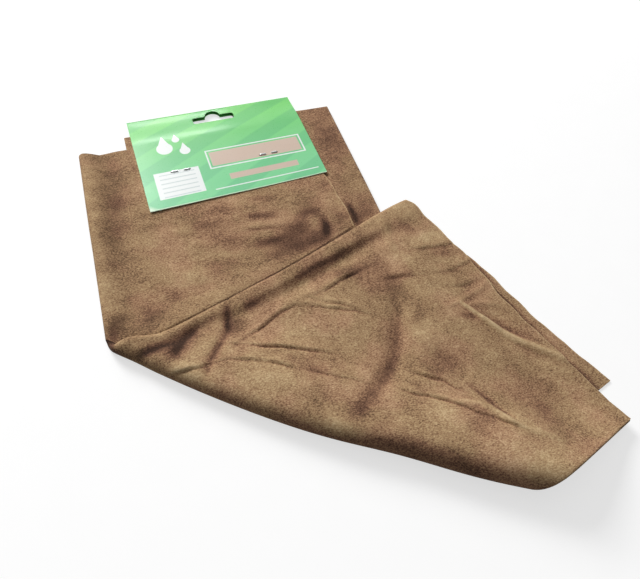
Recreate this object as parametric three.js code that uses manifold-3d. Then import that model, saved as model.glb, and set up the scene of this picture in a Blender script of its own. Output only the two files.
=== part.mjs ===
// A chamois leather cloth as it is sold: one skin folded in three lengthwise,
// turned over once on a slanting crease, with a folded header card stapled to its end.
// Millimetres and degrees, +Z up, lying on the plane z = 0.
//
// While it is built, x runs across the folded strip from its left fold, y runs up towards
// the card, and y = 0 is the card's top fold. The whole is centred at the end.
import * as THREE from "three";
import { mergeVertices } from "three/addons/utils/BufferGeometryUtils.js";
import Module from "manifold-3d";

// The skin and the three panels that it is folded into
const SKIN_THICKNESS = 0.9;
const PLY_GAP = 0.4; // air between two panels that lie on each other
const STRIP_WIDTH = 181; // left fold to right fold
const INNER_EDGE_SETBACK = 31; // left fold to the inner panel's cut edge
const TOP_EDGE_SETBACK = 22; // right fold to the top panel's cut edge
const INNER_PANEL_END = 15; // the cut ends, measured down from the card's top fold
const TOP_PANEL_END = 28; // the bottom panel's end slants from one to the other

// The loose roll along the left fold, and the dip between it and the inner panel
const ROLL_RISE = 2.6; // how far the roll stands above the flat stack
const ROLL_REACH = 3.2; // left fold to the crown of the roll
const DIP_AT = 18; // left fold to the lowest line of the dip
const ROLL_LEFT_AT_CREASE = 0.35; // share of the roll that is left where the strip turns over

// The slanting crease and the flap beyond it
const LEFT_EDGE_LENGTH = 173; // card's top fold to the crease, along the left fold
const CREASE_ANGLE = 35; // from straight across the strip
const CREASE_BOW = 9; // how far the crease swells out between its ends
const LOOP_HOLLOW_LEFT = 1.2; // inner radius of the soft bend, over the stack, along the crease
const LOOP_HOLLOW_MIDDLE = 3.6;
const LOOP_HOLLOW_RIGHT = 7.5;
const FLAP_ANGLE = 17.5; // the flap's folded edge, from straight across the strip
const FLAP_LENGTH = 201; // bend to the cut end, along the flap's folded edge
const TOP_PANEL_FAN = 12; // how much further the top panel's slanting end reaches at the right fold
const LOFT_LENGTH = 70; // run in which the flap comes down from the bend
const DRAPE_LENGTH = 45; // run in which it comes down from the strip's edge to the table
const FLAP_GAP = 0.6; // between the flap and the strip under it
const BEND_GAP = 0.3; // where the strip ends and the flap begins, half way round the bend

// The header card
const CARD_WIDTH = 120;
const CARD_HEIGHT = 87; // top fold to lower edge, front and back alike
const CARD_THICKNESS = 0.4;
const CARD_INSET = 34.7; // left fold of the skin to the card's left edge
const CARD_TURN = 1.8;
const CARD_FOLD_RADIUS = 1.1;
const CARD_SLOPE_LENGTH = 30; // run in which the front panel rises from the fold
const CARD_GAP = 0.3;

// The hang slot, a long slot with a round bump over its middle
const SLOT_WIDTH = 30;
const SLOT_HEIGHT = 7;
const SLOT_DROP = 15; // top fold to the slot's lower edge
const SLOT_CORNER = 2;
const BUMP_WIDTH = 11;
const BUMP_RISE = 5;

// The two staples, driven from behind and clinched on the front
const STAPLE_CROWN = 12.7;
const STAPLE_WIRE_WIDTH = 0.7;
const STAPLE_WIRE_THICKNESS = 0.5;
const STAPLE_CLINCH = 4.2; // length of each leg that is bent over
const STAPLE_BEND = 0.6; // middle radius of the wire's bends
const STAPLE_GAP = 0.3;
const STAPLE_DROP = 59; // card's top fold to the row of staples
const STAPLE_LEFT_INSET = 26; // each side edge to the middle of its staple
const STAPLE_RIGHT_INSET = 33;

// Mesh density: steps across each panel and fold, rings along the skin, steps round small bends
const ACROSS = { inner: 5, fold: 4, bottom: 10, roll: 6, top: 10 };
const WAVE_STEPS = 6; // of a panel's steps, those over the roll and the dip
const RINGS = { card: 5, strip: 6, ramp: 2, loop: 3, flap: 12, rollReturn: 4 };
const FOLD_STEPS = 8;
const SLOT_STEPS = 6;

// Heights that follow from the sizes above
const STACK = 3 * SKIN_THICKNESS + 2 * PLY_GAP;
const OUTER_PLY = SKIN_THICKNESS / 2;
const MIDDLE_PLY = OUTER_PLY + SKIN_THICKNESS + PLY_GAP;
const INNER_PLY = MIDDLE_PLY + SKIN_THICKNESS + PLY_GAP;
const BACK_PANEL = STAPLE_WIRE_THICKNESS + STAPLE_GAP; // underside of the card's back panel
const LIFT = BACK_PANEL + CARD_THICKNESS + CARD_GAP; // the skin lies this high over the card
const FRONT_PANEL = LIFT + STACK + CARD_GAP; // underside of the card's front panel
const CARD_ZONE = CARD_HEIGHT + CARD_WIDTH * Math.sin(THREE.MathUtils.degToRad(CARD_TURN));

const wasm = await Module();
wasm.setup();

// Solids

function solidOf(geometry) {
  const bare = new THREE.BufferGeometry();
  bare.setAttribute("position", geometry.getAttribute("position"));
  bare.setIndex(geometry.getIndex());
  const merged = mergeVertices(bare, 1e-4);
  return new wasm.Manifold(
    new wasm.Mesh({
      numProp: 3,
      vertProperties: new Float32Array(merged.getAttribute("position").array),
      triVerts: new Uint32Array(merged.getIndex().array),
    }),
  );
}

function geometryOf(solid) {
  const mesh = solid.getMesh();
  const geometry = new THREE.BufferGeometry();
  geometry.setAttribute("position", new THREE.BufferAttribute(mesh.vertProperties, 3));
  geometry.setIndex(new THREE.BufferAttribute(mesh.triVerts, 1));
  geometry.computeVertexNormals();
  return geometry;
}

function cut(geometry, tools) {
  const tooled = tools.reduce((solid, tool) => solid.subtract(solidOf(tool)), solidOf(geometry));
  return geometryOf(tooled);
}

function namedMesh(name, geometry, color, roughness, metalness) {
  const material = new THREE.MeshStandardMaterial({ color, roughness, metalness });
  const mesh = new THREE.Mesh(geometry, material);
  mesh.name = name;
  return mesh;
}

// The closed outline of a strip of even thickness that follows a middle line
function stripOutline(middle, thickness) {
  const normals = lineNormals(middle);
  const side = (sign) =>
    middle.map((point, i) => point.clone().addScaledVector(normals[i], (sign * thickness) / 2));
  return [...side(1), ...side(-1).reverse()];
}

function lineNormals(line) {
  return line.map((point, i) => {
    const before = line[Math.max(i - 1, 0)];
    const after = line[Math.min(i + 1, line.length - 1)];
    const along = after.clone().sub(before).normalize();
    return new THREE.Vector2(-along.y, along.x);
  });
}

function arc(centre, radiusX, radiusY, from, to, steps) {
  return Array.from({ length: steps + 1 }, (_, i) => {
    const angle = from + ((to - from) * i) / steps;
    return new THREE.Vector2(
      centre.x + radiusX * Math.cos(angle),
      centre.y + radiusY * Math.sin(angle),
    );
  });
}

// A smooth step from one value to another between two places
function ease(x, from, to, low, high) {
  const share = THREE.MathUtils.clamp((x - from) / (to - from), 0, 1);
  return low + (high - low) * share * share * (3 - 2 * share);
}

// The skin's folded section: how the three panels lie on each other

// How far the panel that lies over the roll stands above its flat height
function rollWave(x, roll) {
  const dip = -(INNER_PLY - MIDDLE_PLY) * roll;
  const rise = ROLL_RISE * roll;
  if (x < DIP_AT) return ease(x, ROLL_REACH, DIP_AT, rise, dip);
  return ease(x, DIP_AT, INNER_EDGE_SETBACK - SKIN_THICKNESS, dip, 0);
}

// The middle line from the inner panel's cut edge round both folds to the top panel's.
// Each point is x across the strip and y the depth in from the outer face. turned is 0 on
// the strip, whose top panel waves, and 1 on the flap, whose outer panel is uppermost.
function skinSection(turned, roll) {
  const outerAt = (x) => OUTER_PLY - turned * rollWave(x, roll);
  const innerAt = (x) => INNER_PLY + (1 - turned) * rollWave(x, roll);
  const foldRadius = (MIDDLE_PLY - OUTER_PLY) / 2;
  const foldX = STRIP_WIDTH - SKIN_THICKNESS / 2 - foldRadius;
  const foldCentre = new THREE.Vector2(foldX, OUTER_PLY + foldRadius);
  const rollLow = outerAt(ROLL_REACH);
  const rollRadius = (innerAt(ROLL_REACH) - rollLow) / 2;
  const rollCentre = new THREE.Vector2(ROLL_REACH, rollLow + rollRadius);
  const rollDepth = ROLL_REACH - SKIN_THICKNESS / 2;
  const level = (from, to, steps, depthAt) =>
    Array.from({ length: steps }, (_, i) => {
      const x = from + ((to - from) * i) / steps;
      return new THREE.Vector2(x, depthAt(x));
    });
  // Panels with a wave are stepped finely over it and coarsely beyond
  const waved = (steps, farEnd, depthAt) => [
    ...level(ROLL_REACH, INNER_EDGE_SETBACK, WAVE_STEPS, depthAt),
    ...level(INNER_EDGE_SETBACK, farEnd, steps - WAVE_STEPS, depthAt),
    new THREE.Vector2(farEnd, depthAt(farEnd)),
  ];
  const half = Math.PI / 2;
  return [
    ...level(INNER_EDGE_SETBACK, foldX, ACROSS.inner, () => MIDDLE_PLY),
    ...arc(foldCentre, foldRadius, foldRadius, half, -half, ACROSS.fold).slice(0, -1),
    ...waved(ACROSS.bottom, foldX, outerAt).reverse(),
    ...arc(rollCentre, rollDepth, rollRadius, -half, -3 * half, ACROSS.roll).slice(1, -1),
    ...waved(ACROSS.top, STRIP_WIDTH - TOP_EDGE_SETBACK, innerAt),
  ];
}

// Where the bottom and the top panel begin among the points of the section
const BOTTOM_STARTS = ACROSS.inner + ACROSS.fold;
const TOP_STARTS = BOTTOM_STARTS + ACROSS.bottom + 1;

// A closed skin of even thickness over a grid: place(ring, x, depth, index) gives a point
function skinSolid(ringCount, sectionAt, place) {
  const across = sectionAt(0).length;
  const positions = [];
  for (let ring = 0; ring < ringCount; ring++) {
    const middle = sectionAt(ring);
    const normals = lineNormals(middle);
    for (const sign of [1, -1]) {
      middle.forEach((point, i) => {
        const at = point.clone().addScaledVector(normals[i], (sign * SKIN_THICKNESS) / 2);
        positions.push(...place(ring, at.x, at.y, i).toArray());
      });
    }
  }
  const vertex = (ring, side, i) => (2 * ring + side) * across + i;
  const triangles = [];
  const quad = (a, b, c, d) => triangles.push(a, c, b, a, d, c);
  const last = across - 1;
  for (let ring = 0; ring + 1 < ringCount; ring++) {
    for (let i = 0; i < last; i++) {
      quad(vertex(ring, 0, i), vertex(ring, 0, i + 1), vertex(ring + 1, 0, i + 1), vertex(ring + 1, 0, i));
      quad(vertex(ring, 1, i), vertex(ring + 1, 1, i), vertex(ring + 1, 1, i + 1), vertex(ring, 1, i + 1));
    }
    quad(vertex(ring, 0, 0), vertex(ring + 1, 0, 0), vertex(ring + 1, 1, 0), vertex(ring, 1, 0));
    quad(vertex(ring, 0, last), vertex(ring, 1, last), vertex(ring + 1, 1, last), vertex(ring + 1, 0, last));
  }
  const end = ringCount - 1;
  for (let i = 0; i < last; i++) {
    quad(vertex(0, 0, i), vertex(0, 1, i), vertex(0, 1, i + 1), vertex(0, 0, i + 1));
    quad(vertex(end, 0, i), vertex(end, 0, i + 1), vertex(end, 1, i + 1), vertex(end, 1, i));
  }
  const geometry = new THREE.BufferGeometry();
  geometry.setAttribute("position", new THREE.Float32BufferAttribute(positions, 3));
  geometry.setIndex(triangles);
  return geometry;
}

// The crease, where the strip turns over in a soft hollow bend

const CREASE = THREE.MathUtils.degToRad(CREASE_ANGLE);
const FLAP = THREE.MathUtils.degToRad(FLAP_ANGLE);
const alongCrease = new THREE.Vector3(Math.cos(CREASE), -Math.sin(CREASE), 0);
const outwards = new THREE.Vector3(-Math.sin(CREASE), -Math.cos(CREASE), 0);
const alongFlap = new THREE.Vector3(Math.cos(FLAP), Math.sin(FLAP), 0);

function creasePoint(x) {
  const share = x / STRIP_WIDTH;
  const point = new THREE.Vector3(x, -(LEFT_EDGE_LENGTH + x * Math.tan(CREASE)), 0);
  return point.addScaledVector(outwards, CREASE_BOW * 4 * share * (1 - share));
}

function loopRadius(x) {
  const share = x / STRIP_WIDTH;
  const hollow =
    LOOP_HOLLOW_LEFT * (1 - share) * (1 - 2 * share) +
    LOOP_HOLLOW_MIDDLE * 4 * share * (1 - share) +
    LOOP_HOLLOW_RIGHT * share * (2 * share - 1);
  return STACK + ROLL_RISE * ROLL_LEFT_AT_CREASE + hollow;
}

// The strip meets the crease on a slant, so it also runs along the crease as it goes round
function loopPoint(x, depth, angle) {
  const radius = loopRadius(x);
  const point = creasePoint(x)
    .addScaledVector(alongCrease, Math.tan(CREASE) * radius * angle)
    .addScaledVector(outwards, (radius - depth) * Math.sin(angle));
  point.z = radius - (radius - depth) * Math.cos(angle);
  return point;
}

function flapStart(x) {
  return loopPoint(x, 0, Math.PI).setZ(0);
}

// The strip: card end, free run and the lower half of the bend

function stripGeometry() {
  const endOf = (x, i) => {
    if (i < BOTTOM_STARTS) return INNER_PANEL_END;
    if (i >= TOP_STARTS) return TOP_PANEL_END;
    return THREE.MathUtils.lerp(TOP_PANEL_END, INNER_PANEL_END, x / STRIP_WIDTH);
  };
  const straight = RINGS.card + RINGS.strip;
  const rollAt = (ring) => ease(ring, RINGS.card, straight, 1, ROLL_LEFT_AT_CREASE);
  const turnedAt = (ring) => Math.max(0, ring - straight) / (2 * RINGS.loop);
  const sectionAt = (ring) => skinSection(turnedAt(ring), rollAt(ring));
  const place = (ring, x, depth, i) => {
    if (ring > straight) return loopPoint(x, depth, ((ring - straight) / RINGS.loop) * (Math.PI / 2));
    const creaseY = creasePoint(x).y;
    const inCard = ring <= RINGS.card;
    const y = inCard
      ? THREE.MathUtils.lerp(-endOf(x, i), -CARD_ZONE, ring / RINGS.card)
      : THREE.MathUtils.lerp(-CARD_ZONE, creaseY, (ring - RINGS.card) / RINGS.strip);
    return new THREE.Vector3(x, y, depth + ease(ring, RINGS.card, RINGS.card + RINGS.ramp, LIFT, 0));
  };
  return skinSolid(straight + RINGS.loop + 1, sectionAt, place);
}

// The flap: the upper half of the bend, then down onto the strip and off its edge

function flapFloor(x) {
  const wave = x < INNER_EDGE_SETBACK ? rollWave(x, ROLL_LEFT_AT_CREASE) : 0;
  const onStrip = STACK + wave + FLAP_GAP;
  return ease(x, STRIP_WIDTH + SKIN_THICKNESS, STRIP_WIDTH + DRAPE_LENGTH, onStrip, 0);
}

function flapGeometry() {
  const rollAt = (ring) =>
    ease(ring, RINGS.loop, RINGS.loop + RINGS.rollReturn, ROLL_LEFT_AT_CREASE, 1);
  const turnedAt = (ring) => Math.min(1, (RINGS.loop + ring) / (2 * RINGS.loop));
  const sectionAt = (ring) => skinSection(turnedAt(ring), rollAt(ring));
  const place = (ring, x, depth, i) => {
    const radius = loopRadius(x);
    if (ring <= RINGS.loop) {
      const start = Math.PI / 2 + BEND_GAP / (radius - depth);
      return loopPoint(x, depth, THREE.MathUtils.lerp(start, Math.PI, ring / RINGS.loop));
    }
    const start = flapStart(x);
    const square = start.clone().sub(flapStart(0)).dot(alongFlap);
    const fan = i < TOP_STARTS ? 0 : (TOP_PANEL_FAN * x) / STRIP_WIDTH;
    const reach = FLAP_LENGTH - square + fan;
    const run = (reach * (ring - RINGS.loop)) / RINGS.flap;
    const point = start.clone().addScaledVector(alongFlap, run);
    const loft = 2 * radius - STACK - flapFloor(start.x);
    point.z = flapFloor(point.x) + ease(run, 0, LOFT_LENGTH, loft, 0) + STACK - depth;
    return point;
  };
  return skinSolid(RINGS.loop + RINGS.flap + 1, sectionAt, place);
}

// The header card: one sheet folded over the skin's end, punched with a hang slot

function cardGeometry() {
  const back = BACK_PANEL + CARD_THICKNESS / 2;
  const front = FRONT_PANEL + CARD_THICKNESS / 2;
  const centre = new THREE.Vector2(-CARD_FOLD_RADIUS - CARD_THICKNESS / 2, back + CARD_FOLD_RADIUS);
  const middle = [
    new THREE.Vector2(-CARD_HEIGHT, back),
    ...arc(centre, CARD_FOLD_RADIUS, CARD_FOLD_RADIUS, -Math.PI / 2, Math.PI / 2, FOLD_STEPS),
  ];
  const foldTop = middle[middle.length - 1];
  for (let i = 1; i <= FOLD_STEPS; i++) {
    const y = THREE.MathUtils.lerp(foldTop.x, -CARD_SLOPE_LENGTH, i / FOLD_STEPS);
    middle.push(new THREE.Vector2(y, ease(y, foldTop.x, -CARD_SLOPE_LENGTH, foldTop.y, front)));
  }
  middle.push(new THREE.Vector2(-CARD_HEIGHT, front));
  const profile = new THREE.Shape(stripOutline(middle, CARD_THICKNESS));
  const geometry = new THREE.ExtrudeGeometry(profile, { depth: CARD_WIDTH, bevelEnabled: false });
  // The profile is drawn in y and z and pulled along x
  geometry.applyMatrix4(new THREE.Matrix4().set(0, 0, 1, 0, 1, 0, 0, 0, 0, 1, 0, 0, 0, 0, 0, 1));
  return geometry;
}

function slotTool() {
  const half = SLOT_WIDTH / 2;
  const top = SLOT_HEIGHT;
  const bump = BUMP_WIDTH / 2;
  const shape = new THREE.Shape();
  shape.moveTo(-half + SLOT_CORNER, 0);
  shape.lineTo(half - SLOT_CORNER, 0);
  shape.absarc(half - SLOT_CORNER, SLOT_CORNER, SLOT_CORNER, -Math.PI / 2, 0);
  shape.lineTo(half, top - SLOT_CORNER);
  shape.absarc(half - SLOT_CORNER, top - SLOT_CORNER, SLOT_CORNER, 0, Math.PI / 2);
  shape.lineTo(bump, top);
  shape.absellipse(0, top, bump, BUMP_RISE, 0, Math.PI);
  shape.lineTo(-half + SLOT_CORNER, top);
  shape.absarc(-half + SLOT_CORNER, top - SLOT_CORNER, SLOT_CORNER, Math.PI / 2, Math.PI);
  shape.lineTo(-half, SLOT_CORNER);
  shape.absarc(-half + SLOT_CORNER, SLOT_CORNER, SLOT_CORNER, Math.PI, 1.5 * Math.PI);
  const depth = FRONT_PANEL + 2 * CARD_THICKNESS;
  const geometry = new THREE.ExtrudeGeometry(shape, { depth, bevelEnabled: false, curveSegments: SLOT_STEPS });
  return geometry.translate(CARD_WIDTH / 2, -SLOT_DROP, 0);
}

// The staples

const stapleCentres = [STAPLE_LEFT_INSET, CARD_WIDTH - STAPLE_RIGHT_INSET];
const legReach = STAPLE_CROWN / 2 - STAPLE_WIRE_THICKNESS / 2;

function stapleGeometry() {
  const crown = STAPLE_WIRE_THICKNESS / 2;
  const clinch = FRONT_PANEL + CARD_THICKNESS + STAPLE_GAP + STAPLE_WIRE_THICKNESS / 2;
  const bendX = legReach - STAPLE_BEND;
  const low = new THREE.Vector2(bendX, crown + STAPLE_BEND);
  const high = new THREE.Vector2(bendX, clinch - STAPLE_BEND);
  const rightLeg = [
    ...arc(low, STAPLE_BEND, STAPLE_BEND, -Math.PI / 2, 0, FOLD_STEPS / 2),
    ...arc(high, STAPLE_BEND, STAPLE_BEND, 0, Math.PI / 2, FOLD_STEPS / 2),
    new THREE.Vector2(legReach - STAPLE_CLINCH, clinch),
  ];
  const leftLeg = rightLeg.map((point) => new THREE.Vector2(-point.x, point.y)).reverse();
  const outline = stripOutline([...leftLeg, ...rightLeg], STAPLE_WIRE_THICKNESS);
  const shape = new THREE.Shape(outline);
  const geometry = new THREE.ExtrudeGeometry(shape, { depth: STAPLE_WIRE_WIDTH, bevelEnabled: false });
  geometry.translate(0, 0, -STAPLE_WIRE_WIDTH / 2);
  return geometry.rotateX(Math.PI / 2);
}

// The square holes that the legs pierce, as cutting tools in the card's place
function legTools() {
  const height = FRONT_PANEL + 2 * CARD_THICKNESS;
  return stapleCentres.flatMap((centre) =>
    [-legReach, legReach].map((leg) =>
      new THREE.BoxGeometry(
        STAPLE_WIRE_THICKNESS + 2 * STAPLE_GAP,
        STAPLE_WIRE_WIDTH + 2 * STAPLE_GAP,
        height,
      ).translate(centre + leg, -STAPLE_DROP, height / 2),
    ),
  );
}

// Put together

const chamois = new THREE.Group();
const header = new THREE.Group();
header.position.set(CARD_INSET, 0, 0);
header.rotation.z = THREE.MathUtils.degToRad(CARD_TURN);
header.updateMatrix();
chamois.add(header);

const SUEDE_BROWN = 0x8a6a45;
const CARD_GREEN = 0x8fdc8f;
const STAPLE_STEEL = 0xc4c6c8;

const pierced = legTools().map((tool) => tool.applyMatrix4(header.matrix));
chamois.add(namedMesh("leather_strip", cut(stripGeometry(), pierced), SUEDE_BROWN, 0.95, 0));
chamois.add(namedMesh("leather_flap", flapGeometry(), SUEDE_BROWN, 0.95, 0));
header.add(namedMesh("header_card", cut(cardGeometry(), [slotTool(), ...legTools()]), CARD_GREEN, 0.35, 0));
["staple_left", "staple_right"].forEach((name, i) => {
  const staple = namedMesh(name, stapleGeometry(), STAPLE_STEEL, 0.3, 1);
  staple.position.set(stapleCentres[i], -STAPLE_DROP, 0);
  header.add(staple);
});

const size = new THREE.Box3().setFromObject(chamois);
const middle = size.getCenter(new THREE.Vector3());
chamois.position.set(-middle.x, -middle.y, -size.min.z);

export default chamois;
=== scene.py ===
import math

import bmesh
import bpy
import numpy as np
from mathutils import Matrix, Vector, noise


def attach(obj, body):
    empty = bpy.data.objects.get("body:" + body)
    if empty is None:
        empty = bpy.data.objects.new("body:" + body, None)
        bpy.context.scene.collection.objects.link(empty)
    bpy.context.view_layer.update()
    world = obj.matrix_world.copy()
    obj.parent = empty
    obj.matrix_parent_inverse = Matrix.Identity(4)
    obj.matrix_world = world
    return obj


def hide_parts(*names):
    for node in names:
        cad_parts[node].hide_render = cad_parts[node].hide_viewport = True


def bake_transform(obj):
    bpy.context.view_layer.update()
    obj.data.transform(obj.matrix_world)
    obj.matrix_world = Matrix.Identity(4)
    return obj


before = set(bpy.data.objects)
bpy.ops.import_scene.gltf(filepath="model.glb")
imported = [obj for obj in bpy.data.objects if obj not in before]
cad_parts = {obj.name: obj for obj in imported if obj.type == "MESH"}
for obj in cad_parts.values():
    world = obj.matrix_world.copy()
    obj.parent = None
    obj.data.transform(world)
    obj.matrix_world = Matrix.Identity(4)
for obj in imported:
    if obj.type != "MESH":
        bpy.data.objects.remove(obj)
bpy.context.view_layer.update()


# The skin: one cut of brown chamois leather, napped on both faces and raw at every edge.
# It is folded in three lengthwise like a letter, and then turned over once on a slant.
# Sizes are in millimetres from the strip's left fold (x) and from the card's top fold (y).

SKIN = 0.9  # thickness
AIR = 0.4  # between two panels
STRIP_WIDTH = 181.0
INNER_EDGE = 31.0  # the inner panel's cut edge, from the left fold
TOP_EDGE = 159.0  # the top panel's cut edge, from the left fold
INNER_END = 15.0  # the cut ends, down from the card's top fold
TOP_END = 28.0
ROLL_RISE = 2.6
ROLL_REACH = 3.2
CROWN = (3.2, 8.5)  # on the strip and on the flap: the roll's crown,
DIP = (18.0, 15.5)  # the lowest line of the dip beside it,
DIP_END = (30.1, 23.0)  # and where the panel lies flat again
ROLL_AT_CREASE = 0.35
LEFT_LENGTH = 173.0
CREASE = math.radians(35.0)
CREASE_BOW = 9.0
CREASE_DENT = 2.2  # a shallow dent in that bow,
DENT_AT = 0.72  # at this share of the strip's width
DENT_REACH = 0.14
HOLLOW = (1.2, 3.6, 7.5)  # inner radius of the soft bend at the left, the middle and the right
FLAP = math.radians(17.5)
FLAP_LENGTH = 201.0
LOFT = (30.0, 70.0)  # run in which the flap comes down from the bend, at its edge and further in
DRAPE = 45.0  # run in which it comes down from the strip to the table
FLAP_GAP = 0.6
CARD_ZONE = 90.8  # length of the strip that the card holds
CARD_LIFT = 1.5
SKIN_ORIGIN = np.array((-130.803, 157.004, 0.0))

STACK = 3 * SKIN + 2 * AIR
OUTER = SKIN / 2
MIDDLE = OUTER + SKIN + AIR
INNER = MIDDLE + SKIN + AIR
ALONG_CREASE = np.array((math.cos(CREASE), -math.sin(CREASE), 0.0))
OUTWARDS = np.array((-math.sin(CREASE), -math.cos(CREASE), 0.0))
ALONG_FLAP = np.array((math.cos(FLAP), math.sin(FLAP), 0.0))


def ease(x, start, stop, low=0.0, high=1.0):
    """From low at start to high at stop, smoothly, and level outside them."""
    share = np.clip((x - start) / (stop - start), 0, 1)
    return low + (high - low) * share * share * (3 - 2 * share)


def hump(away, reach):
    """1 in the middle, falling softly to almost nothing at twice its reach."""
    return np.exp(-((away / reach) ** 2))


def roll_wave(x, roll, turned, drift=0.0):
    """Height of the loose roll and the dip beside it; turned is 0 on the strip and 1 on the flap."""
    crown, dip_at, dip_end = (a + (b - a) * turned + drift for a, b in (CROWN, DIP, DIP_END))
    dip = -(INNER - MIDDLE) * roll
    rise = ROLL_RISE * roll
    return np.where(x < dip_at, ease(x, crown, dip_at, rise, dip), ease(x, dip_at, dip_end, dip, 0.0))


FOLD_RADIUS = (MIDDLE - OUTER) / 2
FOLD_X = STRIP_WIDTH - SKIN / 2 - FOLD_RADIUS
FOLD_STATIONS = 9  # round the right fold
ROLL_STATIONS = 12  # round the left roll
INNER_PANEL, BOTTOM_PANEL, TOP_PANEL = 0, 2, 4  # runs of the cut; 1 and 3 are the folds between


class Cut:
    """Stations across the cut: inner panel, right fold, bottom panel, left roll, top panel."""

    def __init__(self, inner, bottom, bottom_dip, top_dip, top):
        self.inner = np.linspace(INNER_EDGE, FOLD_X, inner)
        self.fold = np.linspace(0, math.pi, FOLD_STATIONS)[1:-1]
        flat = np.linspace(FOLD_X, INNER_EDGE, bottom)
        dip = np.linspace(INNER_EDGE, ROLL_REACH, bottom_dip)
        self.bottom = np.concatenate((flat[:-1], dip))
        self.roll = np.linspace(0, math.pi, ROLL_STATIONS)[1:-1]
        dip = np.linspace(ROLL_REACH, INNER_EDGE, top_dip)
        flat = np.linspace(INNER_EDGE, TOP_EDGE, top)
        self.top = np.concatenate((dip[:-1], flat))
        runs = (self.inner, self.fold, self.bottom, self.roll, self.top)
        self.counts = [len(run) for run in runs]
        self.panel = np.repeat(np.arange(len(runs)), self.counts)
        x, depth = self.section(np.zeros(1), np.zeros(1))
        steps = np.hypot(np.diff(x[0]), np.diff(depth[0]))
        self.run = np.concatenate(((0.0,), np.cumsum(steps)))

    def section(self, turned, roll, drift=0.0):
        """x and depth below the outer face for every row and station."""
        turned, roll, drift = (np.asarray(a).reshape(-1, 1) for a in (turned, roll, drift))

        def outer_at(x):
            return OUTER - turned * roll_wave(x, roll, turned, drift)

        def inner_at(x):
            return INNER + (1 - turned) * roll_wave(x, roll, turned)

        rows = len(turned)
        low, high = outer_at(ROLL_REACH), inner_at(ROLL_REACH)
        fold_x = FOLD_X + FOLD_RADIUS * np.sin(self.fold)
        fold_depth = MIDDLE - FOLD_RADIUS + FOLD_RADIUS * np.cos(self.fold)[None]
        roll_x = ROLL_REACH - (ROLL_REACH - SKIN / 2) * np.sin(self.roll)
        roll_depth = (low + high) / 2 - (high - low) / 2 * np.cos(self.roll)[None]
        x = np.concatenate((self.inner, fold_x, self.bottom, roll_x, self.top))
        inner_depth = np.full((rows, len(self.inner)), MIDDLE)
        bottom_depth, top_depth = outer_at(self.bottom[None]), inner_at(self.top[None])
        depths = (inner_depth, np.repeat(fold_depth, rows, 0), bottom_depth, roll_depth, top_depth)
        return np.repeat(x[None], rows, 0), np.concatenate(depths, axis=1)

    def shares(self, inner, bottom, top):
        """One share for each station; the two folds pass evenly from one panel's share to the next."""
        starts, stops = (inner, inner, bottom, bottom, top), (inner, bottom, bottom, top, top)
        return np.concatenate([np.linspace(*ends) for ends in zip(starts, stops, self.counts)])[None]


strip_cut = Cut(inner=44, bottom=60, bottom_dip=16, top_dip=26, top=122)
flap_cut = Cut(inner=24, bottom=168, bottom_dip=30, top_dip=10, top=26)


def crease_point(x):
    """A point of the bowed crease, on the table."""
    share = x / STRIP_WIDTH
    bow = CREASE_BOW * 4 * share * (1 - share) - CREASE_DENT * hump(share - DENT_AT, DENT_REACH)
    flat = np.stack((x, -(LEFT_LENGTH + x * math.tan(CREASE)), np.zeros_like(x)), axis=-1)
    return flat + bow[..., None] * OUTWARDS


def bend_radius(x):
    """Outer radius of the soft bend, which opens from the left to the right."""
    share = x / STRIP_WIDTH
    left, middle, right = HOLLOW
    hollow = left * (1 - share) * (1 - 2 * share) + middle * 4 * share * (1 - share)
    hollow = hollow + right * share * (2 * share - 1)
    return STACK + ROLL_RISE * ROLL_AT_CREASE + hollow


def bend_point(x, depth, angle):
    """Where the bend carries a point of the cut, so far round its half turn."""
    radius = bend_radius(x)
    spiral = math.tan(CREASE) * radius * angle
    point = crease_point(x) + spiral[..., None] * ALONG_CREASE
    point = point + ((radius - depth) * np.sin(angle))[..., None] * OUTWARDS
    point[..., 2] = radius - (radius - depth) * np.cos(angle)
    return point


def flap_floor(x):
    """Height of what the flap lies on: the strip, and past its edge the table."""
    wave = np.where(x < INNER_EDGE, roll_wave(x, ROLL_AT_CREASE, 0.0), 0.0)
    return ease(x, STRIP_WIDTH + SKIN, STRIP_WIDTH + DRAPE, STACK + wave + FLAP_GAP, 0.0)


corner_start = bend_point(np.zeros(1), np.zeros(1), np.full(1, math.pi))[0]
EDGE_BOW = ((5.6, 0, 18), (0.6, 60, 95), (-6.2, 90, 205))  # steps inwards along the flap's folded edge


def edge_bow(out):
    return sum(inwards * ease(out, start, stop) for inwards, start, stop in EDGE_BOW)


def past_flap_edge(x, y):
    """How far a point lies outside the flap's folded edge, towards the card."""
    right, back = x - corner_start[0], y - corner_start[1]
    past_straight = back * ALONG_FLAP[0] - right * ALONG_FLAP[1]
    return past_straight + edge_bow(right * ALONG_FLAP[0] + back * ALONG_FLAP[1])


# Wrinkles pressed into the leather while it lay packed: each is a path over the folded piece.
STROKE_ENDS = 0.35  # how much of a soft wrinkle is left at its two ends
LIP_SHARE = 0.8  # of a pinched one's height: its lip,
GROOVE_SHARE = 0.4  # and the narrow groove at the lip's foot
GROOVE_REACH = 1.0
GROOVE_OUT = 1.5  # the groove's place, in reaches of the lip


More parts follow.
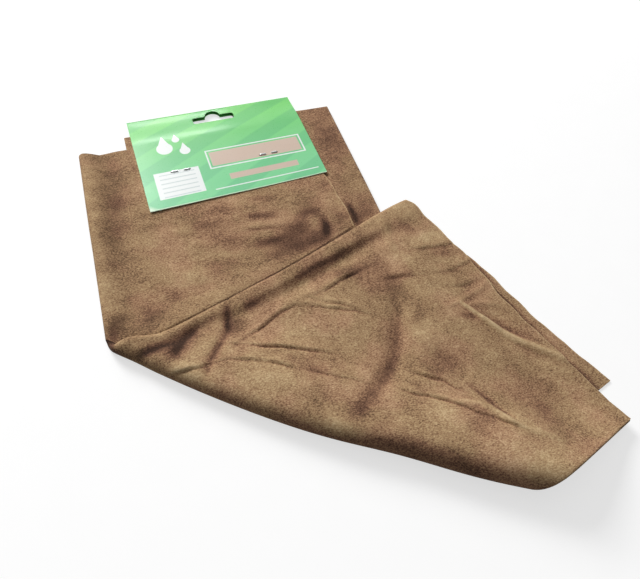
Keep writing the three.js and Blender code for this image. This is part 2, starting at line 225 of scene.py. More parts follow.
def to_path(path, x, y):
    """Distance to a path, signed by its side (left is above), and the share of the path's length."""
    best = np.full(x.shape, np.inf)
    side = np.zeros(x.shape)
    share = np.zeros(x.shape)
    points = np.array(path, float)
    steps = np.hypot(*np.diff(points, axis=0).T)
    runs = np.concatenate(((0.0,), np.cumsum(steps)))
    for (ax, ay), (bx, by), step, run in zip(points[:-1], points[1:], steps, runs):
        ux, uy = (bx - ax) / step, (by - ay) / step
        along = np.clip((x - ax) * ux + (y - ay) * uy, 0, step)
        dx, dy = x - ax - along * ux, y - ay - along * uy
        apart = np.hypot(dx, dy)
        nearer = apart < best
        best = np.where(nearer, apart, best)
        side = np.where(nearer, np.sign(ux * dy - uy * dx), side)
        share = np.where(nearer, (run + along) / runs[-1], share)
    return best, side, share


def soft_stroke(path, reach, x, y):
    """A soft wrinkle or brush mark, strongest in the middle of its path."""
    apart, _, share = to_path(path, x, y)
    swell = np.sin(math.pi * share) ** 0.6
    return hump(apart, reach) * (STROKE_ENDS + (1 - STROKE_ENDS) * swell)


def lip_stroke(path, above, below, x, y):
    """A pinched lip: it rises slowly from above and falls steeply below, into a narrow groove."""
    apart, side, share = to_path(path, x, y)
    lip = np.where(side >= 0, np.exp(-apart / above), hump(apart, below))
    groove = hump(apart * side + GROOVE_OUT * below, GROOVE_REACH)
    swell = np.sin(math.pi * np.clip(share, 0.02, 0.98)) ** 0.5
    return (LIP_SHARE * lip - GROOVE_SHARE * groove) * swell


FLAP_VALLEYS = [  # depth, reach, path
    (1.4, 3.0, [(14, -193), (20, -192), (27, -190), (34, -188.5), (40, -186.5), (48, -182.5)]),
    (0.9, 3.5, [(45, -184), (40, -188), (37, -193), (33, -198)]),
    (1.6, 3.0, [(69, -169), (67, -174), (64, -187), (60, -194), (55, -200), (49, -209), (47, -215)]),
    (0.7, 2.6, [(70, -179), (90, -172), (107, -167), (124, -160), (142, -155), (158, -150),
                (174, -145)]),
    (1.5, 5.0, [(165, -184), (162, -195), (158, -207), (148, -227), (142, -236), (132, -244),
                (116, -254)]),
    (0.8, 4.0, [(166, -167), (168, -180), (171, -198), (176, -206)]),
    (1.1, 1.5, [(178, -257), (181, -263), (184, -273), (189, -285), (195, -292), (206, -303)]),
    (1.0, 3.0, [(210, -217), (220, -230), (226, -237)]),
    (0.9, 5.0, [(169, -232), (173, -237), (178, -245)]),
    (0.9, 5.0, [(164, -278), (168, -283), (172, -288)]),
]
FLAP_LIPS = [  # height, reach above, reach below, path
    (1.3, 5.0, 0.7, [(26, -206), (33, -206), (40, -207), (46, -207), (53, -206)]),
    (1.4, 5.0, 0.9, [(50, -206.5), (61, -207.5), (72, -211), (84, -217), (94, -223), (109, -231),
                     (126, -241)]),
    (1.4, 4.0, 0.8, [(57, -195), (66, -198), (74, -201.5), (91, -207.5), (102, -212), (116, -218)]),
    (1.2, 4.0, 0.8, [(62, -200), (74, -194.5), (88, -187.5), (96.5, -183.5), (105, -181.5),
                     (120, -184.5)]),
    (0.9, 3.0, 0.9, [(105, -183), (119, -186), (135, -194), (146, -201)]),
    (1.1, 4.0, 0.9, [(111, -179), (121, -176.5), (139, -171.5), (148, -169), (159, -166)]),
    (1.1, 3.0, 0.9, [(110, -177), (119, -180.5), (132, -189), (143, -198)]),
    (0.9, 6.0, 1.6, [(158, -177), (168, -178), (184, -180)]),
    (0.9, 7.0, 1.8, [(183, -160), (202, -162), (219, -160)]),
    (0.8, 6.0, 1.6, [(187, -181), (203, -181), (223, -176)]),
    (0.8, 6.0, 1.6, [(191, -191), (206, -193), (223, -192)]),
    (1.4, 6.0, 1.2, [(151, -238), (160, -246), (167, -251), (175, -259)]),
    (1.3, 6.0, 1.1, [(133, -240), (141, -248.5), (149, -254), (158, -260), (168, -267.5),
                     (178, -276), (185, -282.5), (192, -289.5), (199, -297)]),
]
FLAP_RIDGES = [  # height, reach, path
    (1.5, 1.3, [(198, -206), (202, -211), (207, -219), (213, -228)]),
    (2.0, 2.4, [(207, -219), (213, -229), (219, -236), (229, -246), (240, -256)]),
    (0.6, 1.8, [(189, -207), (198, -205), (207, -202), (216, -199), (222, -196)]),
    (0.5, 1.6, [(201, -208), (209, -209), (217, -211), (221, -213)]),
    (1.5, 2.4, [(164, -265), (176, -269), (183, -279), (191, -289), (204, -300)]),
    (0.7, 3.5, [(176, -131), (176, -140), (175, -152), (174, -160)]),
    (1.0, 9.0, [(110, -196), (126, -206), (138, -214)]),
    (1.1, 10.0, [(166, -218), (164, -230), (156, -240)]),
    (1.0, 9.0, [(76, -219), (92, -230), (104, -240)]),
    (0.9, 8.0, [(192, -276), (200, -288), (210, -296)]),
]
STRIP_LIPS = [
    (0.9, 4.0, 0.9, [(84, -118.5), (92, -118), (105, -119), (118, -121)]),
]
STRIP_RIDGES = [
    (0.5, 5.0, [(60, -122), (80, -124), (100, -123)]),
    (0.6, 6.0, [(40, -140), (60, -147), (84, -149)]),
    (1.0, 5.0, [(126, -121), (133, -122), (137, -126)]),
    (0.9, 4.0, [(147, -126), (146, -118), (146, -110)]),
    (0.5, 6.0, [(40, -112), (60, -108), (84, -107)]),
]

EDGE_RISE = 1.3  # how far the top panel's cut edge stands up beside the flap
EDGE_RISE_X, EDGE_RISE_Y = 160.0, -120.0
FLAP_DEEPEST = -1.6  # no hollow of the flap is deeper
FLAP_SWELLS = ((0.5, 34.0, 3.1), (0.25, 12.0, 7.7))  # height, size and seed of slow swells
STRIP_SWELLS = ((0.4, 26.0, 11.3), (0.14, 9.0, 5.9))
ASTRAY_X = ((0.9, 7.0, 21.3), (1.2, 17.0, 14.8))  # the same way, how pinched wrinkles leave their paths
ASTRAY_Y = ((0.9, 7.0, 33.1), (1.2, 17.0, 27.5))


def billow(x, y, size, seed):
    """Slow waves of the loose leather, between -1 and 1."""
    flat = zip((x / size).ravel(), (y / size).ravel())
    return np.array([noise.noise(Vector((a, b, seed))) for a, b in flat]).reshape(x.shape)


def swells(kinds, x, y):
    return sum(height * billow(x, y, size, seed) for height, size, seed in kinds)


def flap_relief(x, y):
    """Height of the flap's wrinkles over its smooth form."""
    height = swells(FLAP_SWELLS, x, y)
    for depth, reach, path in FLAP_VALLEYS:
        height = height - depth * soft_stroke(path, reach, x, y)
    uneven = np.maximum(0.9 + 1.0 * billow(x, y, 11.0, 4.2), 0.1)
    astray_x, astray_y = x + swells(ASTRAY_X, x, y), y + swells(ASTRAY_Y, x, y)
    for rise, above, below, path in FLAP_LIPS:
        height = height + rise * uneven * lip_stroke(path, above, below, astray_x, astray_y)
    for rise, reach, path in FLAP_RIDGES:
        height = height + rise * soft_stroke(path, reach, x, y)
    return np.maximum(height, FLAP_DEEPEST)


def strip_relief(x, y):
    """The same for the strip: flat under the card and the flap, and swollen along the flap's edge."""
    height = 0.3 + swells(STRIP_SWELLS, x, y)
    for rise, above, below, path in STRIP_LIPS:
        height = height + rise * lip_stroke(path, above, below, x, y)
    for rise, reach, path in STRIP_RIDGES:
        height = height + rise * soft_stroke(path, reach, x, y)
    height = height + EDGE_RISE * hump(x - EDGE_RISE_X, 9) * hump(y - EDGE_RISE_Y, 16)
    under_card = ease(x, 28, 34) * ease(x, 152, 162, 1.0, 0.0) * ease(y, -100, -92)
    past = past_flap_edge(x, y)
    swell = (1.0 + 1.8 * hump(x - 22, 32)) * ease(past, 20.0, 1.4) * ease(past, -1.0, 1.4)
    height = height * (1 - under_card) * ease(past, -1.0, 5.0) + swell * ease(x, 5, 22)
    before_crease = (y + LEFT_LENGTH + x * math.tan(CREASE)) * math.cos(CREASE)
    return height * ease(before_crease, 0.5, 11.0)


# Strokes of reach, weight, path that darken or lighten the nap: brush marks, and painted shade along
# the wrinkles' hollows and painted highlights along their crests.
STRIP_NAP_AND_SHADE = [
    (9.0, -0.55, [(18, -30), (19, -54), (17, -72), (14, -94), (12, -120), (12, -134)]),
    (3.2, -0.9, [(92, -132), (104, -131), (113, -129)]),
    (7.0, -0.85, [(113, -132), (119, -128), (125, -123), (131, -118)]),
    (5.0, -0.35, [(136, -131), (133, -135), (127, -138)]),
    (2.5, 0.3, [(134, -120), (134, -126), (132, -131)]),
    (3.5, -0.6, [(127, -117), (134, -114), (141, -115)]),
    (3.0, -1.3, [(141, -122), (141.5, -128), (140.5, -133), (139, -137)]),
    (2.0, -0.6, [(142, -128), (140.5, -133)]),
    (9.0, -0.4, [(104, -139), (116, -138), (128, -133)]),
    (5.5, -0.6, [(115, -143), (124, -140.5), (133, -138), (143, -134)]),
    (5.0, -0.6, [(160, -130), (167, -126), (175, -122)]),
    (7.0, -0.35, [(94, -143), (104, -143), (116, -141)]),
    (2.8, -0.9, [(95, -108.5), (104, -110), (114, -112)]),
    (3.0, -0.6, [(103, -95), (111, -96), (119, -97)]),
    (4.0, -0.45, [(60, -108), (68, -108), (78, -109)]),
    (3.5, -0.45, [(74, -97), (86, -98)]),
    (6.0, -0.4, [(72, -121), (80, -125), (88, -128)]),
    (4.5, -0.5, [(64, -139), (74, -140), (85, -142)]),
    (4.0, -0.55, [(38, -153), (44, -158)]),
    (4.5, -0.9, [(6, -178), (4, -174), (5, -169), (7, -164), (13, -160)]),
    (6.0, -0.3, [(8, -172), (14, -170), (21, -170)]),
    (5.5, -0.45, [(13, -147), (20, -156), (27, -163), (36, -167)]),
    (6.0, -0.35, [(128, -96), (136, -104), (142, -108)]),
    (7.0, -0.2, [(165, -104), (168, -114), (172, -124)]),
    (2.4, -1.7, [(161.6, -112), (162.3, -120), (162.8, -131)]),
    (5.0, -0.5, [(146, -134), (152, -129), (156, -121)]),
    (7.0, -0.4, [(18, -170), (25, -174), (33, -173)]),
    (14.0, -0.5, [(170, 0), (170, -60), (168, -100)]),
    (7.0, -0.2, [(70, -101), (94, -100), (124, -97)]),
    (7.0, -0.3, [(62, -141), (69, -146), (76, -152)]),
    (5.0, 0.3, [(4, -40), (4, -80), (3, -120), (3, -150)]),
    (6.0, 0.3, [(5, -132), (6, -146), (8, -156)]),
    (8.0, 0.35, [(34, -112), (52, -126), (70, -133), (90, -140)]),
    (8.0, 0.4, [(34, -145), (48, -148), (60, -150)]),
    (6.0, 0.3, [(92, -113), (108, -113), (122, -113)]),
]
FLAP_NAP_AND_SHADE = [
    (3.8, -1.3, [(14, -193), (17, -192), (22, -191), (28, -190), (33, -189)]),
    (5.2, -1.5, [(32, -199), (35, -195), (39, -190), (42, -186.5), (47, -182.5)]),
    (1.8, -0.4, [(48, -182), (54, -179.5), (63, -176.5)]),
    (4.0, -0.75, [(73, -180), (69, -188), (64, -194)]),
    (3.0, -0.9, [(67, -174), (66, -180), (64, -188)]),
    (3.2, -0.6, [(63, -188), (58, -197), (51, -207), (47, -214)]),
    (3.2, -1.0, [(76, -177), (81, -175), (86, -174)]),
    (2.8, -1.1, [(111, -165), (124, -160), (134, -158), (146, -153)]),
    (3.5, -0.15, [(146, -154), (156, -151), (167, -147), (179, -144)]),
    (5.0, -0.5, [(181, -140), (188, -144), (195, -148)]),
    (5.0, -0.5, [(190, -167), (206, -169), (220, -169)]),
    (9.0, -0.5, [(149, -178), (157, -185), (165, -193)]),
    (4.0, -0.3, [(84, -166), (109, -158.5), (129, -151), (143, -145)]),
    (4.5, 0.6, [(36, -208), (41, -212), (47, -216)]),
    (3.0, 0.5, [(30, -204), (34, -205), (40, -206)]),
    (5.0, 0.65, [(97, -255), (102, -259), (107, -262)]),
    (3.5, -0.45, [(163, -212), (169, -209), (175, -206)]),
    (6.0, -0.2, [(160, -177), (164, -184), (168, -191), (172, -199), (176, -206)]),
    (2.5, -0.5, [(97, -224), (102, -227), (107, -230)]),
    (4.0, -0.35, [(162, -196), (158, -207), (154, -217), (148, -227), (142, -236)]),
    (5.0, -0.4, [(118, -255), (112, -258), (107, -259)]),
    (5.0, -0.8, [(144, -229), (139, -236), (134, -242), (127, -248), (120, -253), (114, -257)]),
    (7.0, -0.35, [(129, -256), (137, -259), (146, -262)]),
    (5.0, -0.4, [(151, -246), (151, -253), (150, -260)]),
    (6.0, -0.35, [(153, -281), (157, -286), (161, -291)]),
    (8.0, -0.2, [(84, -236), (91, -241), (97, -247)]),
    (4.0, -0.5, [(56, -202), (57, -209), (57, -215)]),
    (6.0, -0.4, [(70, -216), (75, -219), (79, -223)]),
    (8.0, -0.35, [(97, -220), (104, -226), (110, -231)]),
    (7.0, -0.35, [(142, -172), (155, -170), (167, -172)]),
    (6.0, -0.5, [(157, -236), (162, -241), (168, -247)]),
    (6.0, -0.5, [(208, -275), (211, -279), (214, -284)]),
    (4.0, -0.7, [(133, -171), (138, -169.8), (144, -168.5), (151, -167)]),
    (3.5, -0.5, [(122, -168), (130, -165.5), (139, -165)]),
    (3.0, -0.45, [(162, -178), (168, -179), (173, -179), (180, -180)]),
    (3.0, -0.5, [(212, -220), (220, -230), (227, -238)]),
    (2.5, -0.8, [(194, -214), (198, -215), (203, -217)]),
    (6.0, -0.55, [(169, -232), (173, -238), (178, -245)]),
    (5.0, -0.55, [(172, -272), (174, -277), (175, -283)]),
    (6.0, -0.5, [(163, -277), (168, -283), (171, -289)]),
    (2.6, -0.6, [(178, -257), (181, -263), (185, -274)]),
    (10.0, -0.25, [(203, -260), (210, -267), (218, -274)]),
    (1.2, 0.9, [(199, -207), (204, -215), (209, -222), (213, -229)]),
    (2.2, 0.6, [(208, -221), (219, -236), (229, -246), (240, -256)]),
    (2.2, 0.5, [(164, -265), (176, -269), (183, -279), (191, -289), (204, -300)]),
    (6.0, 0.5, [(173, -158), (177, -166), (183, -173)]),
    (7.0, 0.5, [(186, -124), (194, -128), (200, -135)]),
    (7.0, 0.45, [(119, -178), (122, -186), (122, -193)]),
    (7.0, 0.4, [(186, -214), (188, -223), (186, -232)]),
    (7.0, 0.35, [(41, -197), (49, -197), (56, -193)]),
    (9.0, 0.45, [(58, -212), (78, -224), (98, -238)]),
    (10.0, 0.15, [(84, -200), (104, -204), (126, -212)]),
    (8.0, 0.4, [(165, -214), (170, -220), (168, -228)]),
    (10.0, 0.35, [(128, -250), (150, -264), (176, -290)]),
    (11.0, 0.5, [(172, -299), (180, -305), (188, -311), (198, -318)]),
    (5.0, 0.35, [(186, -156), (200, -155), (212, -154)]),
    (4.5, 0.3, [(194, -175), (208, -174), (218, -172)]),
]

HOLLOW_SHADE = 1.1  # painted shade for each millimetre of hollow, and painted highlight on a crest
CREST_SHADE = 0.3  # and how pale on a crest
NAP_LIMITS = (-1.6, 1.0)
EVENING_PASSES = 8  # they even out the relief, which shows where its crests and hollows are
STRIP_SHADE = -0.1  # the strip's nap as a whole
STRIP_EDGE_PALE = 0.8  # the frayed fibres along the cut edge on top,
FLAP_END_PALE = 0.9  # and along the flap's end


def nap_and_shade_of(strokes, x, y, relief):
    """Where the nap lies pale (to 1) or dark (to -1.6): brush marks with painted shade and highlights,
    painted highlight on crests and painted shade in hollows.
    """
    lie_and_shade = np.zeros_like(x)
    for reach, weight, path in strokes:
        lie_and_shade = lie_and_shade + weight * soft_stroke(path, reach, x, y)
    around = relief
    for _ in range(EVENING_PASSES):
        padded = np.pad(around, ((1, 1), (0, 0)), mode="edge")
        around = (padded[:-2] + 2 * around + padded[2:]) / 4
        padded = np.pad(around, ((0, 0), (1, 1)), mode="edge")
        around = (padded[:, :-2] + 2 * around + padded[:, 2:]) / 4
    hollow = relief - around
    return np.clip(lie_and_shade + np.where(hollow < 0, HOLLOW_SHADE, CREST_SHADE) * hollow, *NAP_LIMITS)


HELD_ROWS = 34  # rows of the mesh under the card,
FREE_ROWS = 104  # from there to the crease,
BEND_ROWS = 84  # round the bend,
FLAP_ROWS = 176  # and along the flap
STRIP_RELIEF = (0.12, 0.0, 1.0)  # how far the strip's inner, bottom and top panel show the wrinkles
FLAP_RELIEF = (0.75, 1.0, 0.5)  # the same for the flap's inner, upper and lower panel, and how far these show the brush marks and their painted shade and highlights
PANEL_NAP_AND_SHADE = (0.3, 1.0, 0.25)  # and how far these show the brush marks
EDGE_DRIFT = -7.0  # how much nearer to its edge the flap's roll lies where it leaves the bend
END_STEP = 4.2  # how far the flap's upper and inner panel end short of the lower one
TOP_NOTCH = 1.8  # a shallow notch in the top panel's cut end, near its left fold
DRAWN_IN = (7.0, 2.0)  # how far the top panel's cut edge is drawn in, under the card and below it
FLAP_EDGE_LIFT = 1.1  # how far the upper panel's cut end stands up


def strip_rows():
    """Points, lengths along the cut, and nap with its painted shade and highlights, of the strip, from
    its cut ends to the crease.
    """
    under_card = np.linspace(0, 1, HELD_ROWS + 1)
    share = np.concatenate((under_card, np.linspace(1, 2, FREE_ROWS + 1)[1:]))
    free = np.clip(share - 1, 0, 1)
    x, depth = strip_cut.section(np.zeros(len(share)), ease(free, 0, 1, 1.0, ROLL_AT_CREASE))
    panel = strip_cut.panel[None]
    slanting = TOP_END + (INNER_END - TOP_END) * x / STRIP_WIDTH
    end = np.select([panel < BOTTOM_PANEL, panel > BOTTOM_PANEL], [INNER_END, TOP_END], slanting)
    end = end + 0.5 * billow(x, 0 * x, 9.0, 2.0)
    end = end + np.where(panel > BOTTOM_PANEL, 1.2 + TOP_NOTCH * hump(x - 20, 11), 0.0)
    top = np.stack((x, -end, 0 * x), axis=-1)
    neck = np.stack((x, np.full_like(x, -CARD_ZONE), 0 * x), axis=-1)
    held = np.clip(share, 0, 1)[:, None, None]
    point = top + (neck - top) * held + (crease_point(x) - neck) * free[:, None, None]
    run = -point[..., 1]
    held_in, free_in = DRAWN_IN
    drawn_in = held_in * ease(point[..., 1], -97, -64) + free_in * ease(point[..., 1], -120, -102)
    point[..., 0] -= np.where(panel == TOP_PANEL, drawn_in * ease(x, 70, TOP_EDGE), 0.0)
    relief = strip_relief(point[..., 0], point[..., 1])
    lift = ease(free, 0, 1 / 3, CARD_LIFT, 0.0)[:, None]
    point[..., 2] = depth + lift + relief * strip_cut.shares(*STRIP_RELIEF)
    nap = nap_and_shade_of(STRIP_NAP_AND_SHADE, point[..., 0], point[..., 1], relief) + STRIP_SHADE
    nap[:, -1] += STRIP_EDGE_PALE
    return point, run, nap


def bend_rows():
    """The same for the bend. Its roll is painted in shade up to a line that wanders along the crease,
    and painted shade lies in its left corner.
    """
    even = np.linspace(0, 1, BEND_ROWS)
    angle = math.pi * (even + 0.7 * np.sin(2 * math.pi * even) / (2 * math.pi))
    roll = np.full(BEND_ROWS, ROLL_AT_CREASE)
    x, depth = flap_cut.section(angle / math.pi, roll, EDGE_DRIFT * angle / math.pi)
    angle = np.repeat(angle[:, None], len(flap_cut.panel), 1)
    point = bend_point(x, depth, angle)
    run = -crease_point(x)[..., 1] + bend_radius(x) * angle / math.cos(CREASE)
    relief = flap_relief(point[..., 0], point[..., 1])
    pressed = relief * flap_cut.shares(*FLAP_RELIEF) * ease(angle, 1.2, math.pi)
    flap_nap_and_shade = nap_and_shade_of(FLAP_NAP_AND_SHADE, point[..., 0], point[..., 1], relief) * flap_cut.shares(*PANEL_NAP_AND_SHADE)
    strip_nap_and_shade = nap_and_shade_of(STRIP_NAP_AND_SHADE, point[..., 0], point[..., 1], 0 * x) + STRIP_SHADE
    nap = flap_nap_and_shade * ease(angle, 1.4, 2.4) + strip_nap_and_shade * ease(angle, 1.4, 0.2)
    # painted shade on the roll, up to a line that shifts along the crease
    wide = 0.4 * ease(x, 104, 122) - 0.3 * ease(x, 70, 30) - 0.6 * ease(x, 135, 178)
    wide = wide - 0.34 * ease(x, 66, 86) * ease(x, 116, 102)
    nap = nap - (0.3 + 0.38 * ease(x, 40, 110)) * ease(angle, 2.0 + wide, 2.75 + wide, 1.0, 0.0)
    # painted shade in the left corner, where the roll opens
    nap = nap - 0.9 * hump(x, 9) * ease(angle, 2.4, 1.6)
    point = point + (pressed * np.sin(angle))[..., None] * OUTWARDS
    point[..., 2] -= pressed * np.cos(angle)
    return point, run, nap


def flap_rows():
    """The same for the flap, from the bend to its cut end, where each panel ends at its own length."""
    share = np.linspace(0, 1, FLAP_ROWS) ** 1.1
    roll = ease(share, 0.26, 0.48, ROLL_AT_CREASE, 0.85) * ease(share, 0.66, 0.92, 1.0, 0.25)
    drift = ease(share, 0.17, 0.32, EDGE_DRIFT, -1.0) + ease(share, 0.7, 0.9, 0.0, 1.5)
    x, depth = flap_cut.section(np.ones(FLAP_ROWS), roll, drift)
    panel = flap_cut.panel[None]
    start = bend_point(x, 0 * x, np.full_like(x, math.pi))
    square = (start - corner_start) @ ALONG_FLAP
    trimmed = FLAP_LENGTH - square + 0.9 * billow(x, 0 * x, 11.0, 6.0) - 2.5 * ease(x, 7.0, 0.0)
    upper_end = trimmed - END_STEP * ease(x, 48, 92)
    inner_end = trimmed - END_STEP * ease(x, 92, 106)
    lower_end = trimmed + 5.0 * ease(x, 38, 60) + 5.5 * ease(x, 100, STRIP_WIDTH)
    end = np.select([panel == INNER_PANEL, panel > BOTTOM_PANEL], [inner_end, lower_end], upper_end)
    out = end * share[:, None]
    point = start + out[..., None] * ALONG_FLAP
    inwards = np.array((ALONG_FLAP[1], -ALONG_FLAP[0], 0.0))
    point = point + (edge_bow(out) * ease(x, 60, 0))[..., None] * inwards
    loft = 2 * bend_radius(x) - STACK - flap_floor(start[..., 0])
    relief = flap_relief(point[..., 0], point[..., 1])
    lifted = FLAP_EDGE_LIFT * ease(upper_end - out, 16.0, 0.0) * ease(x, 25, 60)
    pressed = relief * flap_cut.shares(*FLAP_RELIEF) + np.where(panel == BOTTOM_PANEL, lifted, 0.0)
    settling = np.clip(out / ease(x, 0, 45, *LOFT), 0, 1)
    height = flap_floor(point[..., 0]) + loft * ease(settling, 1, 0) + STACK - depth
    point[..., 2] = np.maximum(height + pressed, SKIN / 2)
    run = -crease_point(x)[..., 1] + bend_radius(x) * math.pi / math.cos(CREASE) + out
    nap = nap_and_shade_of(FLAP_NAP_AND_SHADE, point[..., 0], point[..., 1], relief) * flap_cut.shares(*PANEL_NAP_AND_SHADE)
    shaded = 0.8 * hump(out - upper_end - 2.5, 2.2)
    nap = nap - np.where(panel == BOTTOM_PANEL, 0.0, shaded)
    nap[-1] += FLAP_END_PALE
    return point, run, nap


RIM_ANGLE = math.radians(65)  # edges sharper than this stay crisp


def placed(name, bm):
    """A new object made from a finished bmesh."""
    mesh = bpy.data.meshes.new(name)
    bm.to_mesh(mesh)
    bm.free()
    piece = bpy.data.objects.new(name, mesh)
    bpy.context.scene.collection.objects.link(piece)
    return piece


def settled(piece):
    """The mesh that a piece's modifiers make of it."""
    live = piece.evaluated_get(bpy.context.evaluated_depsgraph_get())
    return bpy.data.meshes.new_from_object(live)


def skin_piece(name, cut, point, run, nap):
    """A flat grid of the cut, laid row by row where the folds and wrinkles carry it."""
    rows, columns = run.shape
    place = (point + SKIN_ORIGIN) / 1000
    bm = bmesh.new()
    # the nap, with the painted shade and highlights it carries
    lie_and_shade = bm.verts.layers.float.new("nap")
    flat = bm.loops.layers.uv.new("cut")
    bmesh.ops.create_grid(bm, x_segments=columns - 1, y_segments=rows - 1, size=0.5)
    spot = {}
    for vert in bm.verts:
        i = round((vert.co.x + 0.5) * (columns - 1))
        j = round((vert.co.y + 0.5) * (rows - 1))
        vert.co = place[j, i]
        vert[lie_and_shade] = nap[j, i]
        spot[vert] = (cut.run[i] / 1000, run[j, i] / 1000)
    for face in bm.faces:
        face.smooth = True
        for corner in face.loops:
            corner[flat].uv = spot[corner.vert]
    piece = placed(name, bm)
    wall = piece.modifiers.new("leather thickness", "SOLIDIFY")
    wall.thickness = SKIN / 1000
    wall.offset = 0.0
    wall.use_even_offset = True
    piece.data = settled(piece)
    piece.modifiers.clear()
    piece.data.set_sharp_from_angle(angle=RIM_ANGLE)
    return piece


class Value:
    """A shader value that adds its Math nodes when it is used in a sum."""

    def __init__(self, finish, socket):
        self.finish, self.socket = finish, socket

    def math(self, operation, *inputs):
        return self.finish.node("ShaderNodeMath", {"operation": operation}, dict(enumerate(inputs)))

    def __add__(self, other):
        return self.math("ADD", self, other)

    def __radd__(self, other):
        return self.math("ADD", other, self)

    def __sub__(self, other):
        return self.math("SUBTRACT", self, other)

    def __rsub__(self, other):
        return self.math("SUBTRACT", other, self)

    def __mul__(self, other):
        return self.math("MULTIPLY", self, other)

    def __rmul__(self, other):
        return self.math("MULTIPLY", other, self)

    def __truediv__(self, other):
        return self.math("DIVIDE", self, other)

    def __abs__(self):
        return self.math("ABSOLUTE", self)

    def most(self, other):
        return self.math("MAXIMUM", self, other)

    def least(self, other):
        return self.math("MINIMUM", self, other)

    def root(self):
        return self.math("SQRT", self)

    def sine(self):
        return self.math("SINE", self)

    def fraction(self):
        return self.math("FRACT", self)

    def step(self, start, stop):
        """0 before start and 1 after stop, smoothly."""
        limits = {"Value": self, "From Min": start, "From Max": stop}
        return self.finish.node("ShaderNodeMapRange", {"interpolation_type": "SMOOTHSTEP"}, limits)


class Finish:
    """The nodes of a material, or of the studio's surround, and the one method that makes them."""

    FIRST_COLOUR, SECOND_COLOUR, MIXED_COLOUR = 6, 7, 2  # a Mix node's sockets for colours

    def __init__(self, owner, shader="Principled BSDF"):
        self.owner = owner
        owner.use_nodes = True
        self.tree = owner.node_tree
        self.shader = self.tree.nodes[shader]

    def node(self, kind, settings=None, inputs=None, output=0):
        made = self.tree.nodes.new(kind)
        for name, value in (settings or {}).items():
            if name == "stops":
                ramp = made.color_ramp
                while len(ramp.elements) < len(value):
                    ramp.elements.new(0.5)
                for element, (place, colour) in zip(ramp.elements, value):
                    element.position, element.color = place, colour
            else:
                setattr(made, name, value)
        for key, value in (inputs or {}).items():
            self.feed(made.inputs[key], value)
        return Value(self, made.outputs[output])

    def feed(self, socket, value):
        if isinstance(value, Value):
            self.tree.links.new(value.socket, socket)
        else:
            socket.default_value = value

    def mix(self, share, first, second):
        """Two colours, from the first to the second."""
        inputs = {"Factor": share, self.FIRST_COLOUR: first, self.SECOND_COLOUR: second}
        return self.node("ShaderNodeMix", {"data_type": "RGBA"}, inputs, output=self.MIXED_COLOUR)

    def grain(self, spot, scale, detail=2.0, roughness=0.5):
        """Fine or cloudy noise, from 0 to 1; scale is its number of swells in a metre."""
        inputs = {"Vector": spot, "Scale": scale, "Detail": detail, "Roughness": roughness}
        return self.node("ShaderNodeTexNoise", {}, inputs)

    def drawn_out(self, spot, scale):
        return self.node("ShaderNodeMapping", {}, {"Vector": spot, "Scale": scale})

    def millimetres(self, spot):
        """The first two parts of a place, in millimetres."""
        parts = [self.node("ShaderNodeSeparateXYZ", {}, {"Vector": spot}, output=axis) for axis in "XY"]
        return [part * 1000 for part in parts]

    def bump(self, height, strength, distance):
        inputs = {"Strength": strength, "Distance": distance, "Height": height}
        return self.node("ShaderNodeBump", {}, inputs)

    def wear(self, **inputs):
        """Sets or links the shader's own sockets."""
        for name, value in inputs.items():
            self.feed(self.shader.inputs[name.replace("_", " ")], value)


def paint(red, green, blue):
    """A colour as it is seen on a screen, 0 to 255, in the renderer's own terms."""
    shades = [c / 255 for c in (red, green, blue)]
    return tuple(c / 12.92 if c <= 0.04045 else ((c + 0.055) / 1.055) ** 2.4 for c in shades) + (1.0,)


# Brush mottle and single fibres, nap clouds over the flat cut, its rosy parts, and how the nap lies
# with its painted shade and highlights.
BRUSHED = (0.75, 1.3, 1.0)  # the pattern is longer across the skin than along it
suede = Finish(bpy.data.materials.new("suede"))
place = suede.node("ShaderNodeTexCoord", output="Object")
flat_spot = suede.node("ShaderNodeUVMap", {"uv_map": "cut"})
brushed = suede.drawn_out(place, BRUSHED)
mottle = suede.grain(brushed, 240.0, detail=3.0, roughness=0.6)
fibre = suede.grain(brushed, 1250.0, detail=2.0, roughness=0.7)
clouds = suede.grain(suede.drawn_out(flat_spot, BRUSHED), 52.0, detail=3.0, roughness=0.6)
blush = suede.grain(flat_spot, 38.0, detail=3.0)
lie_and_shade = suede.node("ShaderNodeAttribute", {"attribute_name": "nap"}, output="Fac")

# Along the flap's edge the strip is darkened by a painted contact shadow, in a line that follows the
# edge's bow.
side, back = suede.millimetres(place)
edge_x, edge_y = (corner_start + SKIN_ORIGIN)[:2]
along_edge = (side - edge_x) * ALONG_FLAP[0] + (back - edge_y) * ALONG_FLAP[1]
past_edge = (back - edge_y) * ALONG_FLAP[0] - (side - edge_x) * ALONG_FLAP[1]
for inwards, start, stop in EDGE_BOW:
    past_edge = past_edge + inwards * along_edge.step(start, stop)
edge_shadow_to = past_edge - 1.2 * along_edge.step(60, 110)
painted_edge_shadow = past_edge.step(-1.6, -0.2) * (1 - edge_shadow_to.step(0.9, 2.2)) * (0.6 + 0.8 * mottle)
painted_edge_shadow = painted_edge_shadow * along_edge.step(10, 45) * (1 - along_edge.step(148, 158))
edge_shadow_weight = 0.36 + 0.18 * along_edge.step(45, 65) * (1 - along_edge.step(90, 110))

